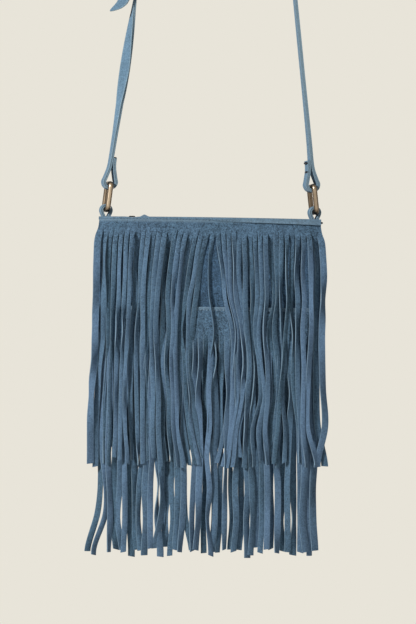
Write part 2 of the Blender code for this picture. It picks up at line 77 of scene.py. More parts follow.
# %% [markdown]
# ## Camera and room
# The photograph looks straight at the bag from far away, with a long lens, so that one pixel is
# one millimetre at the fringe. The bag hangs a little turned in the picture, and the camera is
# rolled by that amount. The room is a pale world and a pale floor far below. Both show one warm
# white to the camera and to mirror-like surfaces, while the lamps do the lighting.

# %% Camera
CAMERA_DISTANCE = 2.5
PICTURE_HEIGHT = 0.624
FRINGE_FACE = -0.016
AIM_SIDE = -0.0007
AIM_DROP = -0.0930
ROLL = math.radians(0.795)

camera_data = bpy.data.cameras.new("camera")
camera_data.sensor_width = 36
camera_data.lens = camera_data.sensor_width * CAMERA_DISTANCE / PICTURE_HEIGHT
camera = bpy.data.objects.new("camera", camera_data)
SCENE.collection.objects.link(camera)
camera.location = bag_point(AIM_SIDE, FRINGE_FACE - CAMERA_DISTANCE, AIM_DROP)
camera.rotation_euler = (math.radians(90), -ROLL, 0)
SCENE.camera = camera
SCENE.view_settings.view_transform = "Standard"
print("lens:", round(camera_data.lens, 1), "mm")

# %% [markdown]
# ## Shader arithmetic
# Procedural finishes are sums and products of patterns. Written as nodes they take many lines, so
# a small class wraps one output socket, and Python's own operators add the Math nodes.

# %% A socket that can be added and multiplied
class Signal:
    """One value in a material, such as a noise, that Python's operators work on."""

    def __init__(self, finish, socket):
        self.finish = finish
        self.socket = socket

    def apply(self, operation, first, second=0.0):
        made = self.finish.node("ShaderNodeMath", {"operation": operation}, {0: first, 1: second})
        return Signal(self.finish, made.outputs[0])

    def __add__(self, other):
        return self.apply("ADD", self, other)

    def __radd__(self, other):
        return self.apply("ADD", other, self)

    def __sub__(self, other):
        return self.apply("SUBTRACT", self, other)

    def __rsub__(self, other):
        return self.apply("SUBTRACT", other, self)

    def __mul__(self, other):
        return self.apply("MULTIPLY", self, other)

    def __rmul__(self, other):
        return self.apply("MULTIPLY", other, self)

    def __pow__(self, other):
        return self.apply("POWER", self, other)

# %% [markdown]
# A finish is a material being put together. Its method `node` makes any node: settings first,
# then the sockets. The patterns are read in object coordinates, which are metres here, so a
# noise's scale says how many bumps there are in a metre.

# %% A finish
class Finish:
    """A material with one Principled shader and the patterns that feed it."""

    def __init__(self, name, **constants):
        self.material = bpy.data.materials.new(name)
        self.material.use_nodes = True
        self.tree = self.material.node_tree
        self.shader = self.tree.nodes["Principled BSDF"]
        for socket, value in constants.items():
            self.shader.inputs[socket.replace("_", " ")].default_value = value
        self.place = self.output("ShaderNodeTexCoord", "Object")

    def node(self, kind, settings=None, sockets=None):
        made = self.tree.nodes.new(kind)
        for key, value in (settings or {}).items():
            if key == "stops":
                self.set_stops(made.color_ramp, value)
            else:
                setattr(made, key, value)
        for key, value in (sockets or {}).items():
            self.feed(made.inputs[key], value)
        return made

    def output(self, kind, output, settings=None, sockets=None):
        return Signal(self, self.node(kind, settings, sockets).outputs[output])

    def feed(self, socket, value):
        if isinstance(value, Signal):
            self.tree.links.new(value.socket, socket)
        else:
            socket.default_value = value

    def set_stops(self, ramp, stops):
        while len(ramp.elements) < len(stops):
            ramp.elements.new(0.5)
        for element, (position, colour) in zip(ramp.elements, stops):
            element.position = position
            element.color = colour

    def noise(self, scale, stretch=(1, 1, 1), detail=2.0):
        """A cloudy pattern from 0 to 1; stretch multiplies the scale along each axis."""
        place = self.output("ShaderNodeMapping", "Vector", None, {"Vector": self.place, "Scale": stretch})
        return self.output("ShaderNodeTexNoise", "Fac", None,
                           {"Vector": place, "Scale": scale, "Detail": detail})

    def attribute(self, name):
        """A number that a piece carries on its points; 0 on a piece that has none."""
        return self.output("ShaderNodeAttribute", "Fac", {"attribute_name": name})

    def mix(self, share, a, b):
        """A colour between two others."""
        return self.output("ShaderNodeMix", 2, {"data_type": "RGBA"}, {0: share, 6: a, 7: b})

    def scaled(self, colour, amount):
        """A colour made lighter or darker by a signal."""
        if not isinstance(colour, Signal):
            colour = colour[:3]
        return self.output("ShaderNodeVectorMath", "Vector", {"operation": "SCALE"},
                           {"Vector": colour, "Scale": amount})

    def bumpy(self, height, depth):
        """Turn a signal into relief; depth is in metres."""
        relief = self.output("ShaderNodeBump", "Normal", None,
                             {"Height": height, "Distance": depth, "Strength": 1.0})
        self.feed(self.shader.inputs["Normal"], relief)

    def paint(self, colour, roughness=None):
        self.feed(self.shader.inputs["Base Color"], colour)
        if roughness is not None:
            self.feed(self.shader.inputs["Roughness"], roughness)

# %% [markdown]
# Colours are read off the photograph as display values, and the shader wants linear
# ones, so a helper converts them.

# %% Colours
def colour(red, green, blue):
    """A display colour, 0 to 255, as the linear colour that a shader takes."""
    linear = [((v / 255 + 0.055) / 1.055) ** 2.4 if v > 10 else v / 3295 for v in (red, green, blue)]
    return (*linear, 1.0)


BLUE_SUEDE = colour(84, 111, 133)
BLUE_TEAL = colour(82, 117, 138)
BLUE_VIOLET = colour(88, 105, 136)
BLUE_WORN_AND_HIGHLIGHT = colour(140, 166, 184)
BLUE_PAINTED_SHADE = colour(69, 96, 121)
STRAP_BLUE = colour(109, 138, 159)
STRAP_DEEP = colour(90, 121, 147)
STRAP_WORN = colour(160, 182, 190)
BRASS_BRIGHT = colour(196, 177, 153)
BRASS_DARK = colour(64, 52, 43)
GUNMETAL = colour(30, 29, 28)
GUNMETAL_WORN = colour(44, 43, 42)
TAPE_NAVY = colour(40, 52, 68)
PAPER_WARM = colour(232, 228, 217)
print("header blue, linear:", [round(v, 3) for v in BLUE_SUEDE[:3]])

# %% [markdown]
# ## Suede
# Suede is leather split or buffed to a nap of short fibres. It has no shine. It does have a
# sheen at grazing angles, a fine grain of fibres, streaks where something brushed the nap the
# other way, and slow changes of hue from the dye. Its cut edges and folds are rubbed paler; on
# the fringe the left cut edges, which face the lamp, are painted paler still, a painted highlight.
# Attributes made with each piece say where the cut edges are, how each strip lies, and where the
# suede hangs free. A strip's tone is partly random and partly painted shade: strips that hang
# behind others are painted darker.

# %% The suede finishes
FIBRES_PER_METRE = 950
BRUSHED_PER_METRE = 170
DYE_PER_METRE = 30
PATCHES_PER_METRE = 330
NAP_HEIGHT = 0.00025
HANGING_CALM = 0.45


def suede_finish(name, plain, cool, warm, pale_edge_colour, edge_share, grain=1.0):
    finish = Finish(name, Specular_IOR_Level=0.15, Sheen_Weight=0.30, Sheen_Roughness=0.45,
                    Sheen_Tint=(0.72, 0.84, 0.95, 1.0))
    fibres = finish.noise(FIBRES_PER_METRE, detail=3.0)
    brushed = finish.noise(BRUSHED_PER_METRE, stretch=(1, 1, 0.12))
    dye = finish.noise(DYE_PER_METRE, stretch=(1, 1, 0.5))
    patches = finish.noise(PATCHES_PER_METRE, detail=1.0)
    # A strip's tone is a random tone plus painted shade: strips in the back lanes are darker.
    tone = finish.attribute("tone")
    hue = finish.mix(dye + 0.5 * tone, cool, warm)
    hue = finish.mix(0.3, plain, hue)
    edge = finish.attribute("cut_edge")
    rough = grain * (1.0 - HANGING_CALM * finish.attribute("hanging"))
    nap = 3.0 * (fibres - 0.5) + 0.8 * (brushed - 0.5) + 1.1 * (patches - 0.5)
    shade = 1.0 + rough * nap + 0.45 * grain * (dye - 0.5) + 0.21 * tone
    finish.paint(finish.mix(edge_share * edge, finish.scaled(hue, shade), pale_edge_colour), 0.88 + 0.2 * (brushed - 0.5))
    finish.bumpy(fibres + 0.6 * brushed, NAP_HEIGHT)
    return finish.material


suede = suede_finish("blue_suede", BLUE_SUEDE, BLUE_TEAL, BLUE_VIOLET, BLUE_WORN_AND_HIGHLIGHT, 0.64)
# The front panel's suede is a deeper blue: painted shade for the shadow that the fringe casts on it.
sheltered_suede = suede_finish("sheltered_suede", BLUE_PAINTED_SHADE, BLUE_PAINTED_SHADE, BLUE_PAINTED_SHADE, BLUE_WORN_AND_HIGHLIGHT, 0.45)
worn_suede = suede_finish("worn_suede", BLUE_SUEDE, BLUE_TEAL, BLUE_SUEDE, BLUE_WORN_AND_HIGHLIGHT, 0.60)
strap_suede = suede_finish("strap_suede", STRAP_BLUE, STRAP_DEEP, STRAP_BLUE, STRAP_WORN, 0.45, grain=0.45)
print("suede:", suede.name, strap_suede.name)

# %% [markdown]
# ## Metal, thread and tape
# The links are aged brass: a warm brown metal, darker where the patina has stayed. They also
# carry a painted highlight, marked on their points: the sides that face the front are painted
# brighter, the left link more than the right and the rod behind less. The zip's metal is nearly
# black. Its tape is woven, so a fine wave in both directions stands for the threads.

# %% The other finishes
def metal_finish(name, bright, dark, roughness):
    finish = Finish(name, Metallic=1.0)
    patina = finish.noise(260, detail=4.0)
    scratches = finish.noise(700, stretch=(1, 1, 0.2))
    rubbed = finish.attribute("rubbed")
    # The share is partly patina and partly a painted highlight on the points that face the front.
    share = 0.25 * patina + 0.85 * rubbed
    finish.paint(finish.mix(share, dark, bright), roughness + 0.25 * (scratches - 0.5))
    finish.bumpy(scratches, 0.00004)
    return finish.material


def woven_finish(name, base, threads_per_metre):
    finish = Finish(name, Specular_IOR_Level=0.2, Sheen_Weight=0.15)
    wave = {"Scale": threads_per_metre, "Distortion": 0.4, "Detail": 0.0}
    across = finish.output("ShaderNodeTexWave", "Fac", {"bands_direction": "X"}, wave | {"Vector": finish.place})
    along = finish.output("ShaderNodeTexWave", "Fac", {"bands_direction": "Y"}, wave | {"Vector": finish.place})
    weave = across * along
    finish.paint(finish.scaled(base, 0.75 + 0.7 * weave), 0.9)
    finish.bumpy(weave, 0.0001)
    return finish.material


brass = metal_finish("aged_brass", BRASS_BRIGHT, BRASS_DARK, 0.30)
gunmetal = metal_finish("zip_gunmetal", GUNMETAL_WORN, GUNMETAL, 0.34)
zip_cloth = woven_finish("zip_cloth", TAPE_NAVY, 900)
thread = woven_finish("blue_thread", colour(150, 176, 196), 1500)
dark_thread = woven_finish("dark_thread", colour(30, 36, 46), 1500)
print("metals and cloth:", brass.name, gunmetal.name, zip_cloth.name, thread.name)

# %% [markdown]
# ## Light
# The strips' left edges are bright and their right sides dark, so the main lamp is a soft one,
# high on the left and in front. The pale room fills the shadows. The world is brighter to the
# camera than to the bag: that keeps the background pale without washing the suede out.

# %% Lamps, world and floor
def lamp(name, place, size, watts, target):
    data = bpy.data.lights.new(name, "AREA")
    data.size = size
    data.energy = watts
    made = bpy.data.objects.new(name, data)
    SCENE.collection.objects.link(made)
    made.location = place
    made.rotation_euler = (target - place).to_track_quat("-Z", "Y").to_euler()
    return made


middle = bag_point(0, 0, -0.15)
lamp("key", middle + Vector((-1.40, -1.20, 1.05)), 0.26, 41, middle)
lamp("fill", middle + Vector((1.1, -2.1, 0.2)), 1.4, 4, middle)
behind = lamp("behind", middle + Vector((0.5, 2.0, 0.5)), 1.2, 13, middle)
behind.visible_camera = False

FILL_STRENGTH = 0.165
world = bpy.data.worlds.new("pale_room")
SCENE.world = world
world.use_nodes = True
tree = world.node_tree
tree.nodes.clear()
path = tree.nodes.new("ShaderNodeLightPath")
seen = tree.nodes.new("ShaderNodeMath")
seen.operation = "MAXIMUM"
tree.links.new(path.outputs["Is Camera Ray"], seen.inputs[0])
mirrored = tree.nodes.new("ShaderNodeMath")
mirrored.operation = "MAXIMUM"
tree.links.new(path.outputs["Is Glossy Ray"], mirrored.inputs[0])
tree.links.new(path.outputs["Is Transmission Ray"], mirrored.inputs[1])
tree.links.new(mirrored.outputs[0], seen.inputs[1])
lighting = tree.nodes.new("ShaderNodeBackground")
lighting.inputs["Color"].default_value = (0.94, 0.97, 1.0, 1.0)
lighting.inputs["Strength"].default_value = FILL_STRENGTH
backdrop = tree.nodes.new("ShaderNodeBackground")
backdrop.inputs["Color"].default_value = PAPER_WARM
backdrop.inputs["Strength"].default_value = 1.0
chosen = tree.nodes.new("ShaderNodeMixShader")
tree.links.new(seen.outputs[0], chosen.inputs[0])
tree.links.new(lighting.outputs[0], chosen.inputs[1])
tree.links.new(backdrop.outputs[0], chosen.inputs[2])
output = tree.nodes.new("ShaderNodeOutputWorld")
tree.links.new(chosen.outputs[0], output.inputs["Surface"])

FLOOR_DROP = -0.62
shape = bmesh.new()
bmesh.ops.create_circle(shape, cap_ends=True, segments=96, radius=0.9,
                        matrix=Matrix.Translation(bag_point(0, 0, FLOOR_DROP)))
floor_mesh = bpy.data.meshes.new("floor")
shape.to_mesh(floor_mesh)
shape.free()
floor = bpy.data.objects.new("floor", floor_mesh)
SCENE.collection.objects.link(floor)
floor_finish = Finish("pale_floor", Roughness=0.9)
floor_finish.paint(PAPER_WARM)
floor_mesh.materials.append(floor_finish.material)

# %% [markdown]
# ## Suede comes as sheets
# Nearly everything on this bag is a flat piece of suede: cut, then bent, folded or hung. So one
# helper makes a flat sheet as a grid in its own plane, x across and y down from its top edge,
# and keeps that flat position as its UV map. Another finishes a bent sheet: it turns the mesh
# into an object, and a Solidify modifier gives the suede its thickness.

# %% Flat sheets and finished pieces
def flat_sheet(width, length, across, along):
    """A flat grid, x from the middle and y down from the top edge, with metres as its UV map."""
    shape = bmesh.new()
    bmesh.ops.create_grid(shape, x_segments=across, y_segments=along, size=0.5)
    bmesh.ops.scale(shape, verts=shape.verts, vec=(width, length, 1))
    bmesh.ops.translate(shape, verts=shape.verts, vec=(0, length / 2, 0))
    cut = shape.loops.layers.uv.new("cut")
    for face in shape.faces:
        for loop in face.loops:
            loop[cut].uv = loop.vert.co.xy
    shape.verts.layers.float.new("cut_edge")
    shape.verts.layers.float.new("tone")
    return shape


def piece(name, shape, finish, body, replaces=(), smooth_angle=180):
    """Turn a finished mesh into an object that rides on a body."""
    mesh = bpy.data.meshes.new(name)
    shape.to_mesh(mesh)
    shape.free()
    mesh.materials.append(finish)
    mesh.shade_smooth()
    if smooth_angle < 180:
        mesh.set_sharp_from_angle(angle=math.radians(smooth_angle))
    made = bpy.data.objects.new(name, mesh)
    SCENE.collection.objects.link(made)
    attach(made, body)
    if replaces:
        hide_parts(*replaces)
    print(name, len(mesh.polygons), "faces")
    return made


def thicken(made, thickness, offset=0.0, rounded=0.0):
    """Give a sheet its thickness, and round its cut edges."""
    wall = made.modifiers.new("thickness", "SOLIDIFY")
    wall.thickness = thickness
    wall.offset = offset
    if rounded:
        edge = made.modifiers.new("rounded", "BEVEL")
        edge.width = rounded
        edge.segments = 2
        edge.limit_method = "ANGLE"
        edge.angle_limit = math.radians(50)
        edge.use_clamp_overlap = True
        edge.harden_normals = True
    return made

# %% [markdown]
# ## The pouch
# The pouch is two panels sewn together at the sides and the bottom. Seen from above, its section
# is a flattened oval, a little deeper at the belly than at the mouth. A grid is pushed onto that
# form, and slow waves of a millimetre keep the soft panel from looking machined.

# %% The pouch's form
POUCH_WIDTH = 0.223
POUCH_HEIGHT = 0.230
POUCH_DEPTH = 0.027
MOUTH_DEPTH = 0.021
CORNER_RADIUS = 0.014
SECTION_POWER = 6
FLAT_SHARE = 0.978
SEAM_GAP = 0.0003
WALL = 0.0016


def half_depth(drop):
    belly = (POUCH_DEPTH - MOUTH_DEPTH) / 2 * math.sin(math.pi * drop)
    return (MOUTH_DEPTH / 2 + belly) * math.sqrt(1 - min(drop, 1) ** 8)


def half_width(drop):
    into_corner = max(0.0, (drop * POUCH_HEIGHT - (POUCH_HEIGHT - CORNER_RADIUS)) / CORNER_RADIUS)
    return POUCH_WIDTH / 2 - CORNER_RADIUS * (1 - math.sqrt(1 - min(1, into_corner) ** 2))


def section(share):
    return (1 - min(abs(share), 1.0) ** SECTION_POWER) ** (1 / SECTION_POWER)


def front_of_pouch(x, z):
    """How far the pouch's front, or what hangs straight down from its belly, stands before y = 0."""
    drop = min(max(-z / POUCH_HEIGHT, 0.0), 0.5)
    share = min(abs(x) / (POUCH_WIDTH / 2), FLAT_SHARE)
    return half_depth(drop) * section(share) + SEAM_GAP / 2


FRINGE_WIDTH = 0.222
print("pouch is", POUCH_WIDTH, "wide and", 2 * half_depth(0.5), "deep")

# %% The two panels
def soft_wave(x, z, facing):
    """The slow unevenness of a panel that has been carried, in metres."""
    return 0.0006 * math.sin(31 * x + 2 * facing) * math.sin(24 * z + facing) + 0.0004 * math.sin(57 * x + 40 * z)


def pouch_panel(name, facing, finish):
    shape = flat_sheet(2.0, 1.0, 56, 44)
    for vert in shape.verts:
        share = math.sin(math.pi / 2 * vert.co.x)
        drop = math.sin(math.pi / 2 * vert.co.y)
        x = half_width(drop) * share
        z = -drop * POUCH_HEIGHT
        fade = (1 - share ** 8) * (1 - drop ** 6) * min(1, 12 * drop)
        depth = half_depth(drop) * section(share) + SEAM_GAP / 2 + fade * soft_wave(x, z, facing)
        vert.co = bag_point(x, facing * depth, z)
    bmesh.ops.remove_doubles(shape, verts=shape.verts, dist=0.00001)
    bmesh.ops.recalc_face_normals(shape, faces=shape.faces)
    towards = sum(face.normal.y * face.calc_area() for face in shape.faces)
    if towards * facing < 0:
        bmesh.ops.reverse_faces(shape, faces=shape.faces)
    made = piece(name, shape, finish, "bag", [name.replace("suede", "panel")])
    return thicken(made, WALL, offset=-1.0)


# The front panel gets the deeper blue: painted shade where the fringe shades it.
front_suede = pouch_panel("front_suede", -1, sheltered_suede)
back_suede = pouch_panel("back_suede", 1, suede)

# %% [markdown]
# ## The fringe
# Each tier is one sheet: a plain header, and below it a row of knife cuts that leaves 42 strips.
# The model is made the same way. A grid is cut with `split_edges` along every slit, and then each
# strip's points are moved together: sideways, forwards into its own lane so that strips can hang
# over each other, and turned, so that one strip faces the light and the next one doesn't.
#
# How a strip hangs is chance, so a seeded generator draws it. A line that wanders smoothly is a
# curve through a few random values.

# %% Smooth chance
def curve_through(values, share):
    """A smooth line through evenly spaced values; share runs from 0 to 1."""
    at = min(max(share, 0.0), 0.99999) * (len(values) - 1)
    k = int(at)
    t = at - k
    a = values[max(k - 1, 0)]
    b = values[k]
    c = values[k + 1]
    d = values[min(k + 2, len(values) - 1)]
    return b + 0.5 * t * (c - a + t * (2 * a - 5 * b + 4 * c - d + t * (3 * (b - c) + d - a)))


def wander(chance, size, knots):
    """Random values that start from rest and wander by about size."""
    return [0.0] + [chance.gauss(0, size) for _ in range(knots)]


def ease(share):
    share = min(max(share, 0.0), 1.0)
    return share * share * (3 - 2 * share)


def between(a, b, start, end, at):
    share = (at - start) / (end - start)
    return a * (1 - share) + b * share

# %% [markdown]
# The photograph's fringe has a few things that chance won't give: the upper strips are parted in
# the middle and lie aside there, one thin strip hangs edge-on in the gap, the sides bow outwards
# below the header, and a few strips swing out at the ends. These are written down as sizes and
# as short lists of sideways steps, in millimetres, from the top of the strip to its tip.

# %% How each tier is cut and how it hangs
STRIP_COUNT = 42
PITCH = FRINGE_WIDTH / STRIP_COUNT
STRIP_COLUMNS = 4
EDGE_COLUMN = 0.77
ROW = 0.0032
SUEDE = 0.0012
LAYER_GAP = 0.0005
PARTING_STRIP = 21
SWINGS = {
    "upper": {21: [0, -3.4, -0.3, 0, -1, 0, 0], 41: [0, 2.4, 1, 0, 0.5, 2.2, -6], 40: [0, 2.2, 1.4, 0.4, 0, 1, 8],
              39: [0, 1.6, 0.8, 0, -1, 0, 5], 35: [0, 0, -1, -3, -6, -10, -17], 36: [0, 0, 0, 2, 1, 4, 7],
              0: [0, 0.3, 1, 1.5, 0, -0.8, 0], 1: [0, 1.6, 3, 2.4, 0, -1.4, -1], 2: [0, 0, 0.5, 1, 1, 1, 1]},
    "lower": {0: [0, 0, -1, -1, 2, 0, -12], 1: [0, 0, -1, -1, 3, 3, -10], 2: [0, 0, 0, 0, 1, 2, 0],
              12: [0, 0, 0, -1, -1, 0, -7], 11: [0, 0, 0, 1, 1, 0, 6], 17: [0, 0, 1, 2, -5, -3, 6]},
}


class Tier:
    """One sheet of fringe: its cut, in metres, and the room that its strips hang in."""

    def __init__(self, name, top, header, length, seed, lanes, lane_step, bundle, loose, turned, broad, settling):
        self.name = name
        self.top = top
        self.header = header
        self.length = length
        self.chance = random.Random(seed)
        self.lanes = lanes
        self.lane_step = lane_step
        self.bundle = bundle
        self.loose = loose
        self.turned = turned
        self.broad = broad
        self.settling = settling
        self.strips = []


upper = Tier("upper", -0.001, 0.0098, 0.243, 7, lanes=4, lane_step=0.0015, bundle=0.0011, loose=0.0008,
             turned=21, broad=(0.72, 0.97), settling=26)
lower = Tier("lower", -0.088, 0.018, 0.245, 23, lanes=4, lane_step=0.0022, bundle=0.0008, loose=0.0007,
             turned=21, broad=(1.00, 1.38), settling=5)
print("strips are", round(PITCH * 1000, 2), "mm wide")

# %% [markdown]
# A strip remembers what was drawn for it: the two slits that free it, its length, its lane, how
# it wanders and turns, and its tone, which is random plus painted shade that darkens strips in the
# back lanes. Neighbours often hang together, so strips are drawn in bundles of one to three, and
# a bundle shares most of its sideways wander and its turn.

# %% Draw the strips
KNOTS = 7
BUNDLES = (1, 1, 1, 2)
BUNDLE_STEP = 0.0007
LENGTH_SPREAD = 0.0031
LEFT_EDGE_FORWARD = 12
SLIT_SPREAD = 0.0032
LEFT_CALM = 0.62
# Painted shade for strips in the back lanes: how much darker they are made in each tier, and the darkest tone allowed.
BEHIND_SHADE = {"upper": 1.1, "lower": 1.7}
DARKEST = {"upper": -1.5, "lower": -2.3}
RIGHT_LIVELY = 1.12
PART_LANE_STEP = 0.0008
EDGE_STRIPS = {0: 1.30, 1: 1.10, 40: 1.25, 41: 1.25}
SHARED_WITH_LAST = 0.55
LONGER_TIPS = {0: 0.0045, 1: 0.0040}


class Strip:
    def __init__(self, tier, index, bundle_side, bundle_turn, lane):
        chance = tier.chance
        self.index = index
        self.start = -FRINGE_WIDTH / 2 + (index + 0.5) * PITCH
        self.length = tier.length + chance.gauss(0, LENGTH_SPREAD)
        self.slant = chance.uniform(-0.0010, 0.0010)
        self.lane = lane + chance.uniform(-0.0002, 0.0002)
        own = wander(chance, tier.loose, KNOTS)
        self.side = [a + b for a, b in zip(bundle_side, own)]
        self.turn = [LEFT_EDGE_FORWARD + a + chance.gauss(0, tier.turned * 0.6) for a in bundle_turn]
        self.turn[0] = 0.0
        self.cup = chance.uniform(0.0001, 0.0008)
        # Strips in the back lanes get a darker tone: painted shade for the shadow of the strips in front.
        nearness = lane / (tier.lane_step * (tier.lanes - 1)) - 0.6
        self.tone = max(DARKEST[tier.name], min(1.0, chance.gauss(0, 0.5) + BEHIND_SHADE[tier.name] * nearness))
        self.broad = chance.uniform(*tier.broad)


def draw_strips(tier):
    chance = tier.chance
    tier.slits = [tier.header + chance.uniform(-SLIT_SPREAD, SLIT_SPREAD) for _ in range(STRIP_COUNT + 1)]
    lane = 0
    side = [0.0] * (KNOTS + 1)
    others = range(1, tier.lanes)
    while len(tier.strips) < STRIP_COUNT:
        lane = (lane + chance.choice(others)) % tier.lanes
        side = [SHARED_WITH_LAST * last + new for last, new in zip(side, wander(chance, tier.bundle, KNOTS))]
        turn = [chance.gauss(0, tier.turned) for _ in range(KNOTS + 1)]
        for k in range(chance.choice(BUNDLES)):
            if len(tier.strips) < STRIP_COUNT:
                lift = lane * tier.lane_step + k * BUNDLE_STEP
                tier.strips.append(Strip(tier, len(tier.strips), side, turn, lift))
    print(tier.name, "tier:", len(tier.strips), "strips")


draw_strips(upper)
draw_strips(lower)
upper.strips[PARTING_STRIP].turn = [0, 58, 70, 76, 72, 60, 50, 40]
for strip in upper.strips:
    steps_away = abs(strip.index - PARTING_STRIP)
    strip.lane = min(strip.lane, 0.0002 + PART_LANE_STEP * max(0, steps_away - 1))
for index, broad in EDGE_STRIPS.items():
    upper.strips[index].broad = broad
    upper.strips[index].side = [0.0] * (KNOTS + 1)
for index, longer in LONGER_TIPS.items():
    lower.strips[index].length += longer

# %% [markdown]
# ## Hanging a strip
# A point of a strip is given by how far across it is, from -1 to 1, and how far down. The sheet's
# own flare and bow come first, then the parting, then the strip's wander. The lower tier lies on
# the pouch. The upper tier lies on the pouch above it and steps forward over the lower one.

# %% Where a point of a strip hangs
FLARE = {"upper": 0.0045, "lower": 0.0}
SIDE_BOW = {"upper": 0.0040, "lower": 0.0}
BOW_DEPTH = 0.026
PART_LEFT = 0.0165
PART_RIGHT = 0.0200
PART_LEFT_REACH = 0.050
PART_RIGHT_REACH = 0.030
OVER_HEADER = 0.0016
OVER_STRIPS = 0.0040
FLUSH_LEFT = 0.0014
FLUSH_RIGHT = 0.0003
FLUSH_DEPTH = 0.012


def parted(tier, strip, share):
    """How far the upper strips are laid aside at the parting."""
    if tier.name != "upper" or strip.index == PARTING_STRIP:
        return 0.0
    away = (strip.index - PARTING_STRIP) * PITCH
    if away < 0:
        return -PART_LEFT * math.sin(math.pi * share ** 0.9) * math.exp(away / PART_LEFT_REACH)
    return PART_RIGHT * math.sin(math.pi * share ** 1.35) * math.exp(-away / PART_RIGHT_REACH)


def sideways(tier, strip, down):
    """The strip's middle at a distance below the sheet's top edge."""
    edge = strip.start / (FRINGE_WIDTH / 2)
    bow = SIDE_BOW[tier.name] * ease(down / BOW_DEPTH) * edge ** 5
    share = strip_share(tier, strip, down)
    swing = curve_through(SWINGS[tier.name].get(strip.index, [0, 0]), share) / 1000
    lively = between(LEFT_CALM, RIGHT_LIVELY, 0, 1, ease((strip.start + 0.02) / 0.06)) if tier is upper else 1.0
    return (strip.start + bow + FLARE[tier.name] * edge * share ** 2 + parted(tier, strip, share)
            + curve_through(strip.side, share) * ease(3 * share) * lively + swing)


def strip_share(tier, strip, down):
    """0 where the strip is free of its neighbours, 1 at its tip."""
    free = max(tier.slits[strip.index], tier.slits[strip.index + 1])
    return max(0.0, (down - free) / (tier.length - free))


def hang(tier, strip, across, down):
    share = strip_share(tier, strip, down)
    z = tier.top - down
    settle = ease(tier.settling * share)
    turn = math.radians(curve_through(strip.turn, share)) * ease(14 * share)
    half = PITCH / 2 * (1 + (strip.broad - 1) * settle)
    x = sideways(tier, strip, down) + across * half * math.cos(turn)
    lift = strip.lane * settle
    if tier.name == "upper":
        lift += OVER_HEADER * ease((lower.top + 0.022 - z) / 0.020)
        lift += OVER_STRIPS * ease((lower.top - 0.008 - z) / 0.075)
        flush = between(FLUSH_LEFT, FLUSH_RIGHT, 0, 1, ease((strip.start + 0.03) / 0.09))
        lift += flush * (1 - ease(down / FLUSH_DEPTH))
    lift += strip.cup * (1 - across ** 2) * settle - across * half * math.sin(turn)
    y = -(front_of_pouch(x, z) + LAYER_GAP + SUEDE / 2 + lift)
    return bag_point(x, y, z - across * strip.slant * share)

# %% [markdown]
# Cutting is one call: the edges that lie on a slit, below the place where that slit starts, are
# split. A point then belongs to the strip whose faces it has. The header's points, and the points
# at the top of a slit, don't move apart, because a strip's share is 0 there.

# %% Cut and hang a sheet
def strip_of(tier, vert):
    """The strip that a point belongs to, from the middle of its faces."""
    middle = sum(face.calc_center_median().x for face in vert.link_faces) / len(vert.link_faces)
    index = int((middle + FRINGE_WIDTH / 2) / PITCH)
    return tier.strips[min(max(index, 0), STRIP_COUNT - 1)]


def slit_edges(tier, shape):
    found = []
    for edge in shape.edges:
        a, b = (vert.co for vert in edge.verts)
        line = a.x / PITCH + STRIP_COUNT / 2
        if abs(a.x - b.x) > PITCH / 10 or abs(line - round(line)) > 0.1:
            continue
        if 0 < round(line) < STRIP_COUNT and min(a.y, b.y) > tier.slits[round(line)]:
            found.append(edge)
    return found


def fringe(tier):
    rows = round(tier.length / ROW)
    shape = flat_sheet(FRINGE_WIDTH, tier.length, STRIP_COUNT * STRIP_COLUMNS, rows)
    bmesh.ops.split_edges(shape, edges=slit_edges(tier, shape))
    cut_edge = shape.verts.layers.float["cut_edge"]
    tone = shape.verts.layers.float["tone"]
    hanging = shape.verts.layers.float.new("hanging")
    placed = []
    for vert in shape.verts:
        strip = strip_of(tier, vert)
        across = (vert.co.x - strip.start) / (PITCH / 2)
        if 0.4 < abs(across) < 0.6:
            across = math.copysign(EDGE_COLUMN, across)
        share = strip_share(tier, strip, vert.co.y)
        down = vert.co.y + (strip.length - tier.length) * share
        # A strip's left cut edge is painted paler than its right one: a painted highlight on the edge that faces the
        # lamp. The edge-on parting strip gets the dim value on both edges.
        if abs(across) > 0.9:
            vert[cut_edge] = ease(16 * share) * (0.2 if across > 0 or strip.index == PARTING_STRIP else 1.0)
        if vert.co.y == 0 or vert.co.y == tier.length:
            vert[cut_edge] = 1.0
        vert[tone] = strip.tone * ease(6 * share)
        vert[hanging] = ease(6 * share)
        placed.append((vert, hang(tier, strip, across, down)))
    for vert, place in placed:
        vert.co = place
    node = tier.name + "_fringe"
    made = piece(tier.name + "_fringe_suede", shape, suede, "bag", [node])
    thicken(made, SUEDE, rounded=0.00025)
    return made


upper_fringe = fringe(upper)
lower_fringe = fringe(lower)

# %% [markdown]
# ## The folded strip along the top edge
# A narrow strip covers the upper sheet's sewn edge: it is folded over that edge and comes down in
# front of it. It is rubbed pale, and at the right it is deeper and stands prouder, so that its
# lower edge throws a thin shadow on the header. The section is half a circle and a straight line.

# %% The folded strip
TOUCH_GAP = 0.0003
BINDING_HEIGHT = 0.0046
BINDING_LEFT_SHARE = 0.32
FOLD_SHARE = 0.4
FOLD_RADIUS = 0.0013
FOLD_TOP = 0.0014
TOP_BOW = 0.0006
DIP = 0.0007
DIP_X = -0.0775
DIP_REACH = 0.0045


def binding_height(x):
    return BINDING_HEIGHT * (BINDING_LEFT_SHARE + (1 - BINDING_LEFT_SHARE) * (0.5 + x / FRINGE_WIDTH) ** 2)


def folded_over(share, height):
    """The strip's section: steps forwards and up from the middle of its fold."""
    if share < FOLD_SHARE:
        turn = math.pi * (1 - share / FOLD_SHARE)
        return FOLD_RADIUS * math.cos(turn), FOLD_RADIUS * math.sin(turn)
    return FOLD_RADIUS, -height * (share - FOLD_SHARE) / (1 - FOLD_SHARE)


